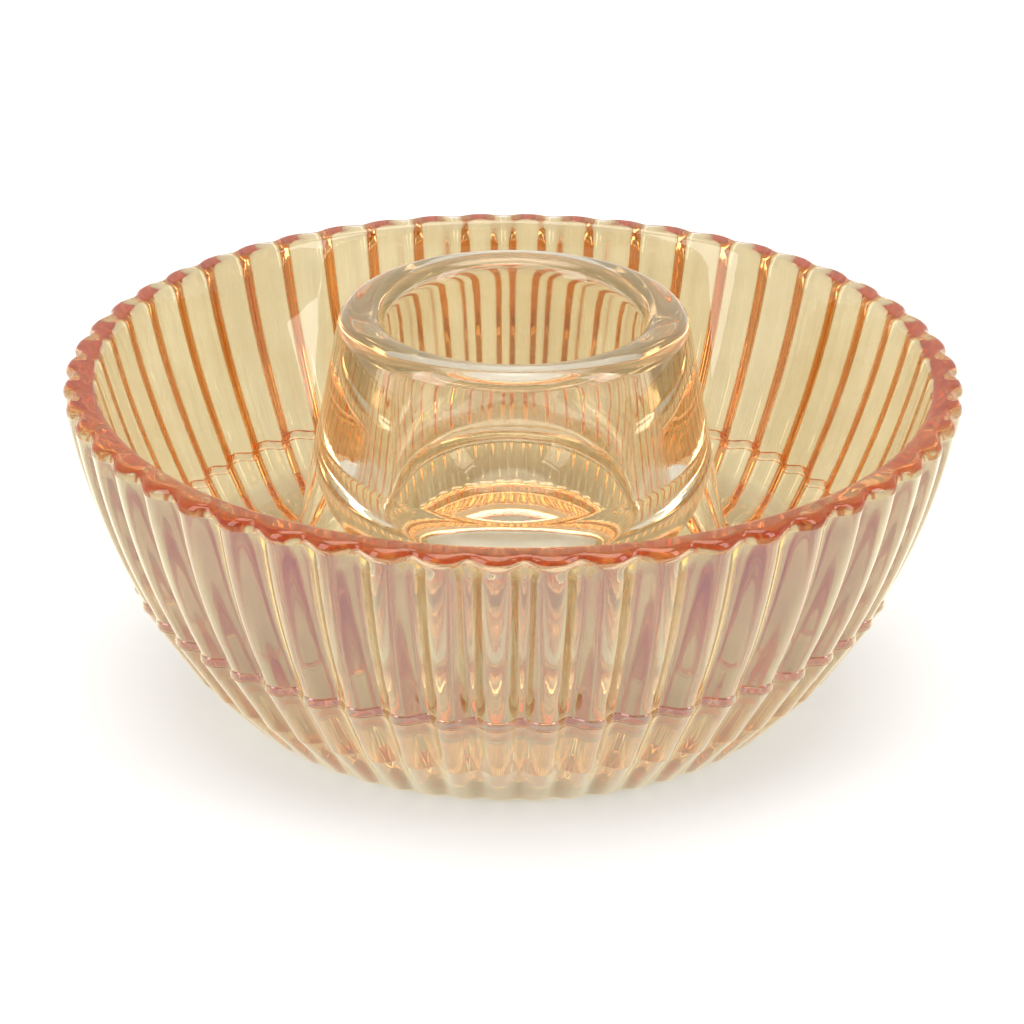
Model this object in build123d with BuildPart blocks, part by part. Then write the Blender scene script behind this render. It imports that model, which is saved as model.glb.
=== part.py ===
from build123d import *

import os
from math import atan2, cos, pi, radians, sin, tan

# Glass tealight holder: a reeded bowl with a smooth candle cup standing in the middle of its floor.
# Millimetres, +Z up. The origin is the middle of the foot, on the surface that the holder stands on.

os.makedirs("parts", exist_ok=True)

# Bowl, outside. Diameters are measured across the crests of the reeds.
rim_diameter = 140.0
bowl_height = 52.6
wall_flare = 10.2  # how far the wall leans out from the crease, where it turns into the foot
crease_height = 20.0
foot_flare = 7.2  # how far the foot's flat band leans out from its lower edge
foot_edge_height = 9.2
foot_round_width = 8.6  # the round lower edge, across, down to the ring that touches the table
wall_bulge = 1.3  # how far the wall bows out at its middle

# Reeds, crest to valley: deep on the wall, melting away towards the rim and the table
reed_count = 52
rim_reed_depth = 1.6
wall_reed_depth = 2.4
crease_reed_depth = 2.0
foot_reed_depth = 1.8
base_reed_depth = 0.6
reed_crest_share = 0.7  # how much of the pitch is convex crest; the rest is concave valley

# Bowl, inside and underneath
rim_wall = 5.2
rim_outer_round = 2.2
rim_inner_round = 1.3
floor_height = 16.5  # top of the bowl's floor, above the table
trough_wall = 9.8  # glass between the crease and the inside of the bowl at its floor
trough_round = 6.0
recess_diameter = 71.2  # at the table
recess_depth = 6.8
recess_draft = 11.5
recess_round = 1.2

# Candle cup, outside
cup_top_height = 63.0
cup_base_diameter = 70.8  # where the cone would meet the bowl's floor, before it flares out
cup_lip_diameter = 53.6  # where the cone would meet the top of the cup, before rounding
flare_round = 7.5  # how the cone runs out over the bowl's floor
flare_edge = 0.5
lip_outer_round = 3.25

# Candle cup, inside
mouth_diameter = 40.2
lip_inner_round = 3.0
belly_height = 15.7  # the lower part of the cavity, where it widens towards its floor
belly_start_diameter = 41.0
belly_start_round = 5.0
cavity_corner_diameter = 47.6  # where the widening wall would meet the cavity's floor, before rounding
cavity_round = 12.4
cavity_depth = 41.7
belly_share = 0.97  # how much of the belly's wall its rounding may take up

crease_diameter = rim_diameter - 2 * wall_flare
foot_diameter = crease_diameter - 2 * foot_flare
base_diameter = foot_diameter - 2 * foot_round_width
rim_widest_height = bowl_height - rim_outer_round
trim = 5.0  # how far cutting shapes run past the glass


def reeded_outline(diameter, depth):
    """One closed face: rounded reeds with narrower rounded valleys, and a crest on the +X axis.

    Crest and valley arcs meet on the straight line from crest to valley, which makes them tangent.
    """
    crest = diameter / 2
    bend = crest - depth * reed_crest_share
    valley = crest - depth
    half_pitch = pi / reed_count
    bend_angle = half_pitch * reed_crest_share
    with BuildSketch() as outline:
        with BuildLine():
            for reed in range(reed_count):
                angle = 2 * pi * reed / reed_count
                before = angle - bend_angle
                after = angle + bend_angle
                middle_of_valley = angle + half_pitch
                next_reed = angle + 2 * half_pitch - bend_angle
                ThreePointArc(
                    (bend * cos(before), bend * sin(before)),
                    (crest * cos(angle), crest * sin(angle)),
                    (bend * cos(after), bend * sin(after)),
                )
                ThreePointArc(
                    (bend * cos(after), bend * sin(after)),
                    (valley * cos(middle_of_valley), valley * sin(middle_of_valley)),
                    (bend * cos(next_reed), bend * sin(next_reed)),
                )
        make_face()
    return outline.sketch


# Bowl: the wall, lofted from the crease to the widest part of the rim
wall_middle_height = (crease_height + rim_widest_height) / 2
wall_middle_diameter = (crease_diameter + rim_diameter) / 2 + 2 * wall_bulge
inner_rim_radius = rim_diameter / 2 - rim_wall
inner_rim_height = bowl_height - rim_inner_round
trough_radius = crease_diameter / 2 - trough_wall

# The foot's round lower edge is a quarter of an ellipse, seen from the side
foot_middle_height = foot_edge_height * (1 - sin(radians(45)))
foot_middle_diameter = base_diameter + 2 * foot_round_width * cos(radians(45))
foot_middle_reed_depth = (foot_reed_depth + base_reed_depth) / 2

with BuildPart() as bowl:
    # The flaring wall
    with BuildSketch(Plane.XY.offset(crease_height)):
        add(reeded_outline(crease_diameter, crease_reed_depth))
    with BuildSketch(Plane.XY.offset(wall_middle_height)):
        add(reeded_outline(wall_middle_diameter, wall_reed_depth))
    with BuildSketch(Plane.XY.offset(rim_widest_height)):
        add(reeded_outline(rim_diameter, rim_reed_depth))
    loft()
    # The rim, straight up before it is rounded
    with BuildSketch(Plane.XY.offset(rim_widest_height)):
        add(reeded_outline(rim_diameter, rim_reed_depth))
    extrude(amount=rim_outer_round)
    # The foot's flat band
    with BuildSketch(Plane.XY.offset(foot_edge_height)):
        add(reeded_outline(foot_diameter, foot_reed_depth))
    with BuildSketch(Plane.XY.offset(crease_height)):
        add(reeded_outline(crease_diameter, crease_reed_depth))
    loft(ruled=True)
    # The foot's round lower edge
    with BuildSketch(Plane.XY):
        add(reeded_outline(base_diameter, base_reed_depth))
    with BuildSketch(Plane.XY.offset(foot_middle_height)):
        add(reeded_outline(foot_middle_diameter, foot_middle_reed_depth))
    with BuildSketch(Plane.XY.offset(foot_edge_height)):
        add(reeded_outline(foot_diameter, foot_reed_depth))
    loft()
    # Outside of the rim, rounded over
    with BuildSketch(Plane.XZ):
        with BuildLine():
            RadiusArc(
                (rim_diameter / 2 - rim_outer_round, bowl_height),
                (rim_diameter / 2, rim_widest_height),
                rim_outer_round,
            )
            Polyline(
                (rim_diameter / 2, rim_widest_height),
                (rim_diameter / 2 + trim, rim_widest_height),
                (rim_diameter / 2 + trim, bowl_height + trim),
                (rim_diameter / 2 - rim_outer_round, bowl_height + trim),
                (rim_diameter / 2 - rim_outer_round, bowl_height),
            )
        make_face()
    revolve(axis=Axis.Z, mode=Mode.SUBTRACT)
    # Inside of the bowl
    with BuildSketch(Plane.XZ) as hollow:
        with BuildLine():
            Line((0, floor_height), (trough_radius, floor_height))
            ThreePointArc(
                (trough_radius, floor_height),
                (
                    (trough_radius + inner_rim_radius) / 2 + wall_bulge,
                    (floor_height + inner_rim_height) / 2,
                ),
                (inner_rim_radius, inner_rim_height),
            )
            RadiusArc(
                (inner_rim_radius, inner_rim_height),
                (inner_rim_radius + rim_inner_round, bowl_height),
                -rim_inner_round,
            )
            Polyline(
                (inner_rim_radius + rim_inner_round, bowl_height),
                (inner_rim_radius + rim_inner_round, bowl_height + trim),
                (0, bowl_height + trim),
                (0, floor_height),
            )
        make_face()
        fillet(hollow.vertices().group_by(Axis.Y)[0].sort_by(Axis.X)[-1], radius=trough_round)
    revolve(axis=Axis.Z, mode=Mode.SUBTRACT)
    # Recess under the foot
    with BuildSketch(Plane.XY):
        Circle(recess_diameter / 2)
    extrude(amount=recess_depth, taper=recess_draft, mode=Mode.SUBTRACT)
    recess_roof = bowl.faces().filter_by(Axis.Z).sort_by(Axis.Z)[1]
    fillet(recess_roof.edges(), radius=recess_round)

bowl.part.label = "ribbed_bowl"
export_step(bowl.part, "parts/ribbed_bowl.step")


# Candle cup: one revolved section, standing on the bowl's floor
flare_height = floor_height + flare_edge
cup_half_angle = atan2((cup_base_diameter - cup_lip_diameter) / 2, cup_top_height - floor_height)
# The flare stays on the flat part of the floor
flare_per_round = tan((pi / 2 - cup_half_angle) / 2)
flare_room = trough_radius - trough_round - cup_base_diameter / 2 - flare_edge
flare_bend = min(flare_round, flare_room / flare_per_round)
flare_reach = flare_bend * flare_per_round
flare_radius = cup_base_diameter / 2 + flare_reach + flare_edge
edge_round = flare_edge / 3
mouth_radius = mouth_diameter / 2
cavity_floor_height = cup_top_height - cavity_depth
belly_start_height = cavity_floor_height + belly_height
belly_angle = atan2((cavity_corner_diameter - belly_start_diameter) / 2, belly_height)
belly_wall = belly_height / cos(belly_angle)
cavity_bend = min(cavity_round, belly_share * belly_wall * tan((pi / 2 - belly_angle) / 2))

with BuildPart() as cup:
    with BuildSketch(Plane.XZ):
        with BuildLine():
            FilletPolyline(
                (0, floor_height),
                (flare_radius, floor_height),
                (flare_radius, flare_height),
                (cup_base_diameter / 2, flare_height),
                (cup_lip_diameter / 2, cup_top_height),
                (mouth_radius, cup_top_height),
                (belly_start_diameter / 2, belly_start_height),
                (cavity_corner_diameter / 2, cavity_floor_height),
                (0, cavity_floor_height),
                radius=(
                    edge_round,
                    edge_round,
                    flare_bend,
                    lip_outer_round,
                    lip_inner_round,
                    belly_start_round,
                    cavity_bend,
                ),
            )
            Line((0, cavity_floor_height), (0, floor_height))
        make_face()
    revolve(axis=Axis.Z)

cup.part.label = "candle_cup"
export_step(cup.part, "parts/candle_cup.step")
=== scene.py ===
import math
import bpy
from mathutils import Matrix, Vector


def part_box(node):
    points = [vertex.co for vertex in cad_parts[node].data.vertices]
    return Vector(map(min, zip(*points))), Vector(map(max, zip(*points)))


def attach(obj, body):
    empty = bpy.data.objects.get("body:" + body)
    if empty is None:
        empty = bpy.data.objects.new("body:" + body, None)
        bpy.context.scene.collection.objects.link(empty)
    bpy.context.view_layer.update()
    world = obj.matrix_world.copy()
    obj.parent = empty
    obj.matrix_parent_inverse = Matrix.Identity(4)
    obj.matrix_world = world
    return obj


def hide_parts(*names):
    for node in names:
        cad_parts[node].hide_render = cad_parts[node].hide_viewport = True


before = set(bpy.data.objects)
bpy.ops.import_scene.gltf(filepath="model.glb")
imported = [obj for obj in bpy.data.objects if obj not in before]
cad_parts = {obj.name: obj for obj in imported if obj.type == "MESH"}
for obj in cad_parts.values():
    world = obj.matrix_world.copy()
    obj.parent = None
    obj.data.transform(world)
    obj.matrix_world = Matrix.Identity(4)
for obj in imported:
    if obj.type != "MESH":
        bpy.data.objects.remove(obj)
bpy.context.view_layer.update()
bowlLow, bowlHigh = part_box("ribbed_bowl")
cupLow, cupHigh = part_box("candle_cup")
mm = 0.001
print("frame loaded:", ", ".join(sorted(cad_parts)))

# All the glass is turned: a profile of corners swept once round the axis.
# The reeds pull the surface in between their crests.
turning = {
    "reeds": 52,
    "slicesPerReed": 16,
    "cornerSteps": 7,  # rows over one rounded corner
    "longestStep": 3.0,  # mm between rows on a long stretch
    "valleySharpness": 1.31,  # above 1, broad crests and narrow valleys
    "wallSteps": 13,  # rows on the outside of a wall that bows out
    "innerWallSteps": 9,
    "smallest": 1e-4,  # mm, nearer than this is the same place
}
sliceCount = turning["reeds"] * turning["slicesPerReed"]
clearSlot, lustreSlot, seamSlot = 0, 1, 2


def valleyShare(index):
    # 0 on the crest of a reed, 1 at the bottom of the valley beside it
    place = (index / turning["slicesPerReed"]) % 1.0
    fromCrest = 1.0 - abs(2.0 * place - 1.0)
    return (1.0 - math.cos(math.pi * fromCrest ** turning["valleySharpness"])) / 2.0


def corner(radius, height, rounding=0.0, reedDepth=0.0, slot=clearSlot, fadeTo=None):
    # one corner of a profile, in mm; slot is the material from here to the next corner,
    # and fadeTo the depth that the reeds have left at the end of the rounding
    return {
        "at": Vector((radius, height)),
        "rounding": rounding,
        "reedDepth": reedDepth,
        "slot": slot,
        "fadeTo": reedDepth if fadeTo is None else fadeTo,
    }


def arcPoints(before, here, after):
    # points along the arc that rounds the corner off
    into = (before["at"] - here["at"]).normalized()
    out = (after["at"] - here["at"]).normalized()
    half = into.angle(out) / 2.0
    centre = here["at"] + (into + out).normalized() * (here["rounding"] / math.sin(half))
    start = here["at"] + into * (here["rounding"] / math.tan(half))
    arm = start - centre
    end = here["at"] + out * (here["rounding"] / math.tan(half)) - centre
    sweep = math.atan2(arm.x * end.y - arm.y * end.x, arm.dot(end))
    steps = turning["cornerSteps"]
    for step in range(steps + 1):
        angle = sweep * step / steps
        c, s = math.cos(angle), math.sin(angle)
        yield centre + Vector((arm.x * c - arm.y * s, arm.x * s + arm.y * c))


def profileRows(corners):
    # (place, reed depth, slot) for each row, with the corners rounded and long stretches divided
    rows = []
    for i, here in enumerate(corners):
        if here["rounding"] > 0.0:
            points = list(arcPoints(corners[i - 1], here, corners[i + 1]))
        else:
            points = [here["at"]]
        last = max(1, len(points) - 1)
        for step, point in enumerate(points):
            faded = (here["fadeTo"] - here["reedDepth"]) * step / last
            rows.append((point, here["reedDepth"] + faded, here["slot"]))
    spaced = []
    for (a, depthA, slot), (b, depthB, _) in zip(rows, rows[1:]):
        gap = (b - a).length
        if gap < turning["smallest"]:
            continue
        steps = max(1, int(gap / turning["longestStep"]))
        for step in range(steps):
            t = step / steps
            spaced.append((a.lerp(b, t), depthA + (depthB - depthA) * t, slot))
    spaced.append(rows[-1])
    return spaced


def bulgedWall(foot, top, bulge, steps, reedDepth=0.0, slot=clearSlot):
    # corners between two points of a wall that bows out by bulge at its middle
    along = top - foot
    across = Vector((along.y, -along.x)).normalized()
    for step in range(1, steps):
        t = step / steps
        place = foot + along * t + across * (bulge * 4.0 * t * (1.0 - t))
        yield corner(place.x, place.y, 0.0, reedDepth, slot)


def turnedPiece(name, corners, materials):
    rows = profileRows(corners)
    vertices, rings, faces, slots = [], [], [], []
    for place, depth, _ in rows:
        if place.x < turning["smallest"]:  # on the axis, where one vertex closes the end
            rings.append([len(vertices)] * sliceCount)
            vertices.append((0.0, 0.0, place.y * mm))
            continue
        rings.append(list(range(len(vertices), len(vertices) + sliceCount)))
        for i in range(sliceCount):
            angle = 2.0 * math.pi * i / sliceCount
            radius = (place.x - depth * valleyShare(i)) * mm
            vertices.append((radius * math.cos(angle), radius * math.sin(angle), place.y * mm))
    for ring, nextRing, (_, _, slot) in zip(rings, rings[1:], rows):
        for i in range(sliceCount):
            j = (i + 1) % sliceCount
            around = (ring[i], ring[j], nextRing[j], nextRing[i])
            faces.append(list(dict.fromkeys(around)))
            slots.append(slot)
    mesh = bpy.data.meshes.new(name)
    mesh.from_pydata(vertices, [], faces)
    for material in materials:
        mesh.materials.append(material)
    mesh.polygons.foreach_set("material_index", slots)
    mesh.polygons.foreach_set("use_smooth", [True] * len(faces))
    mesh.update()
    piece = bpy.data.objects.new(name, mesh)
    bpy.context.scene.collection.objects.link(piece)
    return piece


def linear(hexColour):
    channels = [int(hexColour[i : i + 2], 16) / 255.0 for i in (1, 3, 5)]
    return [c / 12.92 if c <= 0.04045 else ((c + 0.055) / 1.055) ** 2.4 for c in channels] + [1.0]


def addNode(tree, kind, links=None, inputs=None, **settings):
    # links maps an input to (node, output), and inputs maps an input to its value
    node = tree.nodes.new(kind)
    for key, value in settings.items():
        setattr(node, key, value)
    for key, value in (inputs or {}).items():
        node.inputs[key].default_value = value
    for key, (source, output) in (links or {}).items():
        tree.links.new(source.outputs[output], node.inputs[key])
    return node


def newTree(name):
    material = bpy.data.materials.new(name)
    material.use_nodes = True
    material.node_tree.nodes.clear()
    return material, material.node_tree


# Soda-lime glass, pressed in a mould and fire-polished. The polish leaves a soft swell in the
# surface, which is what makes straight edges waver when they are seen through it.
clearGlass = {
    "ior": 1.52,
    "roughness": 0.015,
    "tint": "#FDFBF6",
    "swellSize": 9.0,  # mm between swells
    "swellHeight": 0.02,  # mm
}
# The same glass with a marigold lustre, a fired metal oxide film far thinner than a hair.
# Light passes it as straw yellow, glass behind it throws orange back, and its face shows pink.
lustre = {
    "ior": 1.52,
    "roughness": 0.015,
    "straw": "#D0C7A2",
    "strawDeep": "#C5BA92",
    "orange": "#F6D4AA",
    "orangeDeep": "#EEC79A",
    "lilac": "#E8C9DA",
    "cream": "#FFF7E2",
    "cloudSize": 14.0,  # mm between thick and thin patches of the film
    "cloudThin": 0.35,  # noise below this is film at its thinnest
    "cloudThick": 0.65,
    "lilacUpTo": 0.1,  # how far a face has turned away when the lilac starts to go
    "creamFrom": 0.5,  # and when it is all cream
    "mirrorLeast": 0.2,  # share mirrored face on, nearly five times what bare glass mirrors
    "bareLeast": 0.043,  # what bare glass mirrors face on
    "mirrorsAll": 0.3,  # where bare glass mirrors this much, the film mirrors everything
    "stippleSize": 0.9,  # mm, the grain left by the iron mould
    "stippleHeight": 0.004,
}


def swell(tree, place, settings):
    wave = addNode(
        tree,
        "ShaderNodeTexNoise",
        links={"Vector": (place, "Object")},
        inputs={"Scale": 1.0 / (settings["swellSize"] * mm), "Detail": 2.0},
    )
    return addNode(
        tree,
        "ShaderNodeBump",
        links={"Height": (wave, "Fac")},
        inputs={"Strength": 1.0, "Distance": settings["swellHeight"] * mm},
    )


def makeClearGlass():
    material, tree = newTree("clearPressedGlass")
    place = addNode(tree, "ShaderNodeTexCoord")
    bump = swell(tree, place, clearGlass)
    glass = addNode(
        tree,
        "ShaderNodeBsdfGlass",
        links={"Normal": (bump, "Normal")},
        inputs={
            "Color": linear(clearGlass["tint"]),
            "Roughness": clearGlass["roughness"],
            "IOR": clearGlass["ior"],
        },
    )
    addNode(tree, "ShaderNodeOutputMaterial", links={"Surface": (glass, "BSDF")})
    return material


def makeLustreGlass():
    material, tree = newTree("marigoldLustreGlass")
    place = addNode(tree, "ShaderNodeTexCoord")
    bump = swell(tree, place, clearGlass)
    stipple = addNode(
        tree,
        "ShaderNodeTexNoise",
        links={"Vector": (place, "Object")},
        inputs={"Scale": 1.0 / (lustre["stippleSize"] * mm), "Detail": 1.0},
    )
    grain = addNode(
        tree,
        "ShaderNodeBump",
        links={"Height": (stipple, "Fac"), "Normal": (bump, "Normal")},
        inputs={"Strength": 1.0, "Distance": lustre["stippleHeight"] * mm},
    )
    clouds = addNode(
        tree,
        "ShaderNodeTexNoise",
        links={"Vector": (place, "Object")},
        inputs={"Scale": 1.0 / (lustre["cloudSize"] * mm), "Detail": 3.0},
    )
    filmThickness = addNode(
        tree,
        "ShaderNodeMapRange",
        links={"Value": (clouds, "Fac")},
        inputs={"From Min": lustre["cloudThin"], "From Max": lustre["cloudThick"]},
    )

    def filmColour(thin, thick):
        return addNode(
            tree,
            "ShaderNodeMix",
            data_type="RGBA",
            links={0: (filmThickness, "Result")},
            inputs={6: linear(lustre[thin]), 7: linear(lustre[thick])},
        )

    through = filmColour("straw", "strawDeep")
    innerFace = filmColour("orange", "orangeDeep")
    # interference turns the film from lilac face on to cream along the flanks of the reeds
    slant = addNode(
        tree,
        "ShaderNodeLayerWeight",
        links={"Normal": (grain, "Normal")},
        inputs={"Blend": 0.5},
    )
    slantShare = addNode(
        tree,
        "ShaderNodeMapRange",
        interpolation_type="SMOOTHSTEP",
        links={"Value": (slant, "Facing")},
        inputs={"From Min": lustre["lilacUpTo"], "From Max": lustre["creamFrom"]},
    )
    outerFace = addNode(
        tree,
        "ShaderNodeMix",
        data_type="RGBA",
        links={0: (slantShare, "Result")},
        inputs={6: linear(lustre["lilac"]), 7: linear(lustre["cream"])},
    )
    side = addNode(tree, "ShaderNodeNewGeometry")
    mirrorColour = addNode(
        tree,
        "ShaderNodeMix",
        data_type="RGBA",
        links={0: (side, "Backfacing"), 6: (outerFace, 2), 7: (innerFace, 2)},
    )
    passing = addNode(
        tree,
        "ShaderNodeBsdfRefraction",
        links={"Color": (through, 2), "Normal": (grain, "Normal")},
        inputs={"IOR": lustre["ior"], "Roughness": lustre["roughness"]},
    )
    mirrored = addNode(
        tree,
        "ShaderNodeBsdfAnisotropic",
        links={"Color": (mirrorColour, 2), "Normal": (grain, "Normal")},
        inputs={"Roughness": lustre["roughness"]},
    )
    bareGlass = addNode(
        tree,
        "ShaderNodeFresnel",
        links={"Normal": (grain, "Normal")},
        inputs={"IOR": lustre["ior"]},
    )
    share = addNode(
        tree,
        "ShaderNodeMapRange",
        links={"Value": (bareGlass, "Fac")},
        inputs={
            "From Min": lustre["bareLeast"],
            "From Max": lustre["mirrorsAll"],
            "To Min": lustre["mirrorLeast"],
        },
    )
    film = addNode(
        tree,
        "ShaderNodeMixShader",
        links={0: (share, "Result"), 1: (passing, "BSDF"), 2: (mirrored, "BSDF")},
    )
    addNode(tree, "ShaderNodeOutputMaterial", links={"Surface": (film, "Shader")})
    return material


def makeSeam():
    # where cup and bowl meet there is glass on both sides, so nothing bends or mirrors light
    material, tree = newTree("glassMeetsGlass")
    passing = addNode(tree, "ShaderNodeBsdfTransparent")
    addNode(tree, "ShaderNodeOutputMaterial", links={"Surface": (passing, "BSDF")})
    return material


materials = [makeClearGlass(), makeLustreGlass(), makeSeam()]
print("materials made:", ", ".join(m.name for m in materials))

rimRadius, rimHeight = bowlHigh.x / mm, bowlHigh.z / mm
floorHeight, cupTop = cupLow.z / mm, cupHigh.z / mm

cup = {
    "baseRadius": 35.4,  # where the cone would meet the bowl's floor
    "lipRadius": 26.8,
    "flareRound": 7.5,
    "lipOuterRound": 3.25,
    "mouthRadius": 20.1,
    "lipInnerRound": 3.0,
    "bellyStartDepth": 26.0,
    "bellyStartRadius": 20.5,
    "bellyStartRound": 5.0,
    "cavityCornerRadius": 23.8,
    "cavityRound": 12.4,
    "cavityDepth": 41.7,
}
coneAngle = math.atan2(cup["baseRadius"] - cup["lipRadius"], cupTop - floorHeight)
flareReach = cup["flareRound"] * math.tan((math.pi / 2.0 - coneAngle) / 2.0)
seamRadius = cup["baseRadius"] + flareReach


def cupCorners():
    cavityFloor = cupTop - cup["cavityDepth"]
    return [
        corner(0.0, floorHeight, slot=seamSlot),
        corner(seamRadius, floorHeight),
        corner(cup["baseRadius"], floorHeight, cup["flareRound"]),
        corner(cup["lipRadius"], cupTop, cup["lipOuterRound"]),
        corner(cup["mouthRadius"], cupTop, cup["lipInnerRound"]),
        corner(cup["bellyStartRadius"], cupTop - cup["bellyStartDepth"], cup["bellyStartRound"]),
        corner(cup["cavityCornerRadius"], cavityFloor, cup["cavityRound"]),
        corner(0.0, cavityFloor),
    ]


bowl = {
    "creaseRadius": 59.8,  # where the flaring wall turns into the foot
    "creaseHeight": 20.0,
    "footRadius": 52.6,
    "footEdgeHeight": 9.1,
    "baseRadius": 44.1,
    "wallBulge": 1.3,
    "wallReed": 2.4,  # crest to valley
    "rimReed": 1.56,
    "rimTopReed": 0.7,  # what is left of the scallops on top of the rim
    "creaseReed": 2.04,
    "footReed": 1.8,
    "baseReed": 0.6,
    "rimWall": 5.2,
    "rimOuterRound": 1.7,
    "rimInnerRound": 1.3,
    "troughRadius": 50.0,
    "troughRound": 6.0,
    "bareRadius": 22.0,  # the middle of the recess's roof, where the spray of lustre didn't reach
    "recessRoofRadius": 34.2,
    "recessRadius": 35.6,
    "recessDepth": 6.8,
    "recessRound": 1.2,
    "footRingRound": 0.6,
    "baseRound": 4.5,
    "footEdgeRound": 2.5,
    "beadDepth": 0.25,  # a bead left where the mould's side pieces met its base plate
    "beadHeight": 1.3,
    "beadRound": 0.5,
    "beadFootRound": 0.125,  # where the bead meets the wall and the foot
    "beadSlope": (0.1, 0.25),  # from the top of the bead to the wall, across and up
}


def bowlCorners():
    crease = Vector((bowl["creaseRadius"], bowl["creaseHeight"]))
    beadLow = crease + Vector((bowl["beadDepth"], 0.0))
    beadHigh = crease + Vector((bowl["beadDepth"], bowl["beadHeight"]))
    slopeAcross, slopeUp = bowl["beadSlope"]
    wallFoot = crease + Vector((slopeAcross, bowl["beadHeight"] + slopeUp))
    rim = Vector((rimRadius, rimHeight))
    innerRim = Vector((rimRadius - bowl["rimWall"], rimHeight))
    trough = Vector((bowl["troughRadius"], floorHeight))
    bulge = bowl["wallBulge"]
    return [
        corner(0.0, bowl["recessDepth"]),
        corner(bowl["bareRadius"], bowl["recessDepth"], slot=lustreSlot),
        corner(bowl["recessRoofRadius"], bowl["recessDepth"], bowl["recessRound"], slot=lustreSlot),
        corner(bowl["recessRadius"], 0.0, bowl["footRingRound"], slot=lustreSlot),
        corner(bowl["baseRadius"], 0.0, bowl["baseRound"], bowl["baseReed"], lustreSlot),
        corner(
            bowl["footRadius"],
            bowl["footEdgeHeight"],
            bowl["footEdgeRound"],
            bowl["footReed"],
            lustreSlot,
        ),
        corner(*crease, bowl["beadFootRound"], bowl["creaseReed"], lustreSlot),
        corner(*beadLow, bowl["beadRound"], bowl["creaseReed"], lustreSlot),
        corner(*beadHigh, bowl["beadRound"], bowl["creaseReed"], lustreSlot),
        corner(*wallFoot, bowl["beadFootRound"], bowl["creaseReed"], lustreSlot),
        *bulgedWall(
            wallFoot, rim, bulge, turning["wallSteps"], bowl["wallReed"], lustreSlot
        ),
        corner(*rim, bowl["rimOuterRound"], bowl["rimReed"], fadeTo=bowl["rimTopReed"]),
        corner(*innerRim, bowl["rimInnerRound"]),
        *bulgedWall(innerRim, trough, -bulge, turning["innerWallSteps"]),
        corner(*trough, bowl["troughRound"]),
        corner(seamRadius, floorHeight, slot=seamSlot),
        corner(0.0, floorHeight, slot=seamSlot),
    ]


bowlGlass = turnedPiece("reeded_bowl_glass", bowlCorners(), materials)
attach(bowlGlass, "root")
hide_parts("ribbed_bowl")
print("bowl turned:", len(bowlGlass.data.polygons), "faces")

cupGlass = turnedPiece("candle_cup_glass", cupCorners(), materials)
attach(cupGlass, "root")
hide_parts("candle_cup")
print("cup turned:", len(cupGlass.data.polygons), "faces")

studio = {
    "floorSize": 6.0,
    "floorColour": "#CFCDCA",
    "floorGlow": 0.3,  # a light table, so that light also comes up through the glass
    "toothSize": 1.2,  # mm, drawn coarser than paper fibre, which would only show as noise
    "toothHeight": 0.05,
    "toothStrength": 0.3,
    "paperRoughness": 0.9,
    "tentWall": 0.88,
    "tentRoof": 4.5,  # a light stands over the roof of the tent
    "roofFrom": 0.88,  # part of a direction along Z where the roof's light starts
    "roofAllFrom": 0.93,
    "openSide": 0.6,  # the side behind the camera, as a share of the walls
    "openUpTo": -0.9,  # part of a direction along Y, which is negative towards the camera
    "closedFrom": -0.4,
}
softboxes = [
    # name, place, width, height, watts
    ("softboxLeft", (-1.2, -0.9, 0.8), 0.7, 1.4, 11.0),
    ("softboxRight", (1.3, -0.6, 0.9), 0.5, 1.2, 8.0),
]


def makeFloor():
    material, tree = newTree("matteStudioPaper")
    # uncoated paper: no gloss, with a faint tooth that only close up breaks the light
    place = addNode(tree, "ShaderNodeTexCoord")
    tooth = addNode(
        tree,
        "ShaderNodeTexNoise",
        links={"Vector": (place, "Object")},
        inputs={"Scale": 1.0 / (studio["toothSize"] * mm), "Detail": 2.0},
    )
    bump = addNode(
        tree,
        "ShaderNodeBump",
        links={"Height": (tooth, "Fac")},
        inputs={"Strength": studio["toothStrength"], "Distance": studio["toothHeight"] * mm},
    )
    paper = addNode(
        tree,
        "ShaderNodeBsdfPrincipled",
        links={"Normal": (bump, "Normal")},
        inputs={
            "Base Color": linear(studio["floorColour"]),
            "Roughness": studio["paperRoughness"],
            "Emission Color": (1.0, 1.0, 1.0, 1.0),
            "Emission Strength": studio["floorGlow"],
        },
    )
    addNode(tree, "ShaderNodeOutputMaterial", links={"Surface": (paper, "BSDF")})
    half = studio["floorSize"] / 2.0
    mesh = bpy.data.meshes.new("studio_floor")
    square = [(-half, -half, 0.0), (half, -half, 0.0), (half, half, 0.0), (-half, half, 0.0)]
    mesh.from_pydata(square, [], [(0, 1, 2, 3)])
    mesh.materials.append(material)
    floor = bpy.data.objects.new("studio_floor", mesh)
    bpy.context.scene.collection.objects.link(floor)


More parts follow.
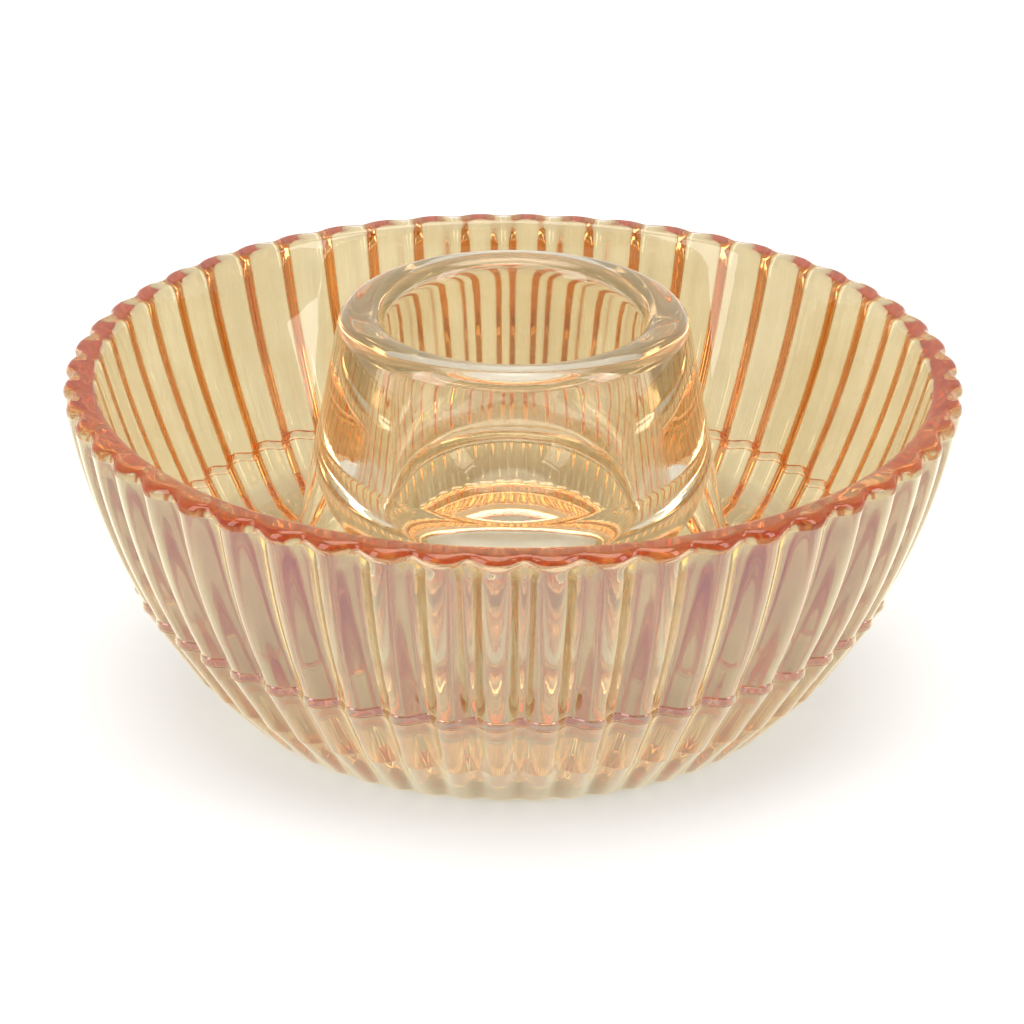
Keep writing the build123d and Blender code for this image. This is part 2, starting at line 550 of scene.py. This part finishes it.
def makeSky():
    world = bpy.data.worlds.new("studioDome")
    world.use_nodes = True
    tree = world.node_tree
    tree.nodes.clear()
    direction = addNode(tree, "ShaderNodeTexCoord")
    axes = addNode(tree, "ShaderNodeSeparateXYZ", links={"Vector": (direction, "Generated")})
    byHeight = addNode(
        tree,
        "ShaderNodeMapRange",
        links={"Value": (axes, "Z")},
        inputs={
            "From Min": studio["roofFrom"],
            "From Max": studio["roofAllFrom"],
            "To Min": studio["tentWall"],
            "To Max": studio["tentRoof"],
        },
    )
    openSide = addNode(
        tree,
        "ShaderNodeMapRange",
        interpolation_type="SMOOTHSTEP",
        links={"Value": (axes, "Y")},
        inputs={
            "From Min": studio["openUpTo"],
            "From Max": studio["closedFrom"],
            "To Min": studio["openSide"],
            "To Max": 1.0,
        },
    )
    strength = addNode(
        tree,
        "ShaderNodeMath",
        operation="MULTIPLY",
        links={0: (byHeight, "Result"), 1: (openSide, "Result")},
    )
    dome = addNode(
        tree,
        "ShaderNodeBackground",
        links={"Strength": (strength, "Value")},
        inputs={"Color": (1.0, 1.0, 1.0, 1.0)},
    )
    addNode(tree, "ShaderNodeOutputWorld", links={"Surface": (dome, "Background")})
    bpy.context.scene.world = world


def makeSoftbox(name, place, width, height, watts):
    light = bpy.data.lights.new(name, "AREA")
    light.shape = "RECTANGLE"
    light.size, light.size_y, light.energy = width, height, watts
    box = bpy.data.objects.new(name, light)
    bpy.context.scene.collection.objects.link(box)
    box.location = place
    middle = Vector((0.0, 0.0, rimHeight * mm / 2.0))
    box.rotation_euler = (middle - box.location).to_track_quat("-Z", "Y").to_euler()


makeFloor()
makeSky()
for box in softboxes:
    makeSoftbox(*box)
print("studio lit")

view = {
    "lens": 166.0,  # mm, a long lens close to the table
    "sensor": 36.0,
    "nearest": 0.01,  # clipping
    "distance": 0.733,  # from the middle of the rim's plane
    "elevation": 22.7,
    "orbit": 1.82,  # degrees round from facing +Y
    "tilt": 1.72,  # how far below the rim's middle it looks, in degrees
    "roll": 0.58,
}
lens = bpy.data.cameras.new("camera")
lens.sensor_width = view["sensor"]
lens.lens = view["lens"]
lens.clip_start = view["nearest"]
camera = bpy.data.objects.new("camera", lens)
bpy.context.scene.collection.objects.link(camera)
orbit = Matrix.Rotation(math.radians(view["orbit"]), 4, "Z")
elevation = math.radians(view["elevation"])
backOff = Vector((0.0, -math.cos(elevation), math.sin(elevation))) * view["distance"]
pitch = Matrix.Rotation(math.radians(90.0 - view["elevation"] - view["tilt"]), 4, "X")
roll = Matrix.Rotation(math.radians(view["roll"]), 4, "Z")
standpoint = Matrix.Translation(orbit @ backOff + Vector((0.0, 0.0, rimHeight * mm)))
camera.matrix_world = standpoint @ orbit @ pitch @ roll
bpy.context.scene.camera = camera

# Light crosses many walls of glass, so it needs far more bounces than usual.
bounces = 32
scene = bpy.context.scene
scene.cycles.max_bounces = bounces
scene.cycles.glossy_bounces = bounces
scene.cycles.transmission_bounces = bounces
scene.cycles.transparent_max_bounces = bounces
scene.view_settings.view_transform = "Standard"
print("camera set")
